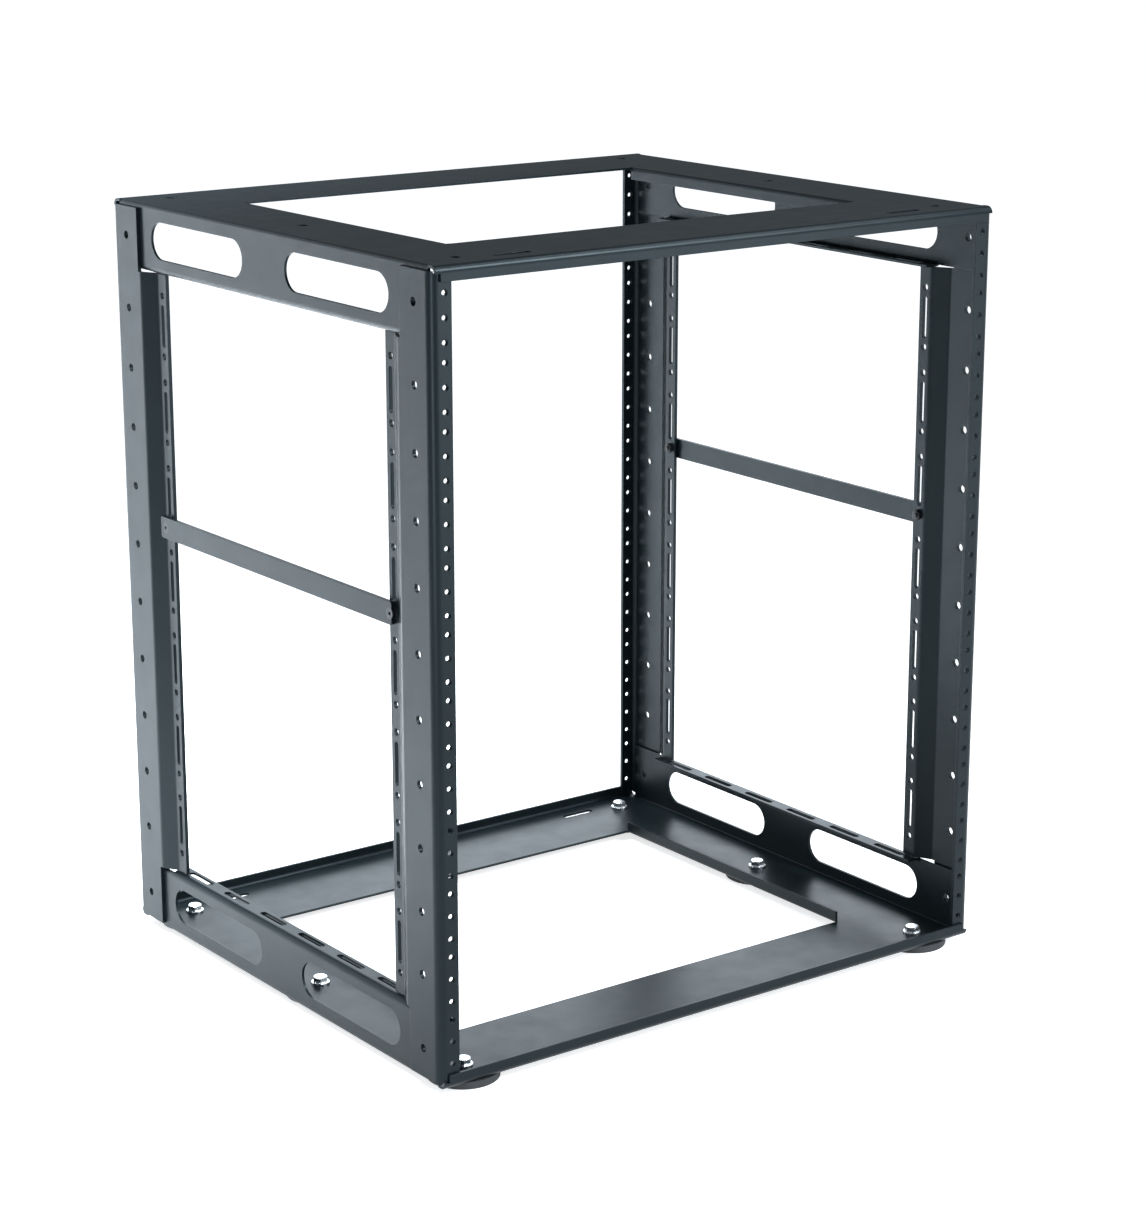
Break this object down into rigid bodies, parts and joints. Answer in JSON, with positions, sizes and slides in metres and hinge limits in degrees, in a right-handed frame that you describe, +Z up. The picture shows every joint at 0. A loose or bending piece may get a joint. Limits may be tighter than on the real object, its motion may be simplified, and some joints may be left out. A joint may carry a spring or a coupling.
{
  "type": "open-frame rack",
  "caption": "Open-frame equipment rack: folded steel posts with rows of rack holes join a top and a bottom pan with hand slots, braced at the sides, on round feet.",
  "frame": {"origin": "on the floor, under the middle of the rack", "axes": "+Z up, the front faces -Y, +X to the right seen from the front"},
  "size_m": [0.4858, 0.4178, 0.5612],
  "materials": {
    "powder_coat": "semi-gloss black powder coat",
    "black_bolt": "black oxide",
    "zinc": "bright zinc plate",
    "rubber": "matt grey-black"
  },
  "bodies": {
    "root": {"top_pan": "powder_coat", "bottom_pan": "powder_coat", "front_left_post": "powder_coat", "front_right_post": "powder_coat", "rear_left_post": "powder_coat", "rear_right_post": "powder_coat", "left_brace_bar": "powder_coat", "right_brace_bar": "powder_coat", "front_left_brace_bolt": "black_bolt", "front_right_brace_bolt": "black_bolt", "rear_left_brace_bolt": "black_bolt", "rear_right_brace_bolt": "black_bolt", "rear_left_foot": "rubber", "middle_left_foot": "rubber", "front_left_foot": "rubber", "rear_right_foot": "rubber", "middle_right_foot": "rubber", "front_right_foot": "rubber", "rear_left_foot_bolt": "zinc", "middle_left_foot_bolt": "zinc", "front_left_foot_bolt": "zinc", "rear_right_foot_bolt": "zinc", "middle_right_foot_bolt": "zinc", "front_right_foot_bolt": "zinc"}
  },
  "joints": []
}
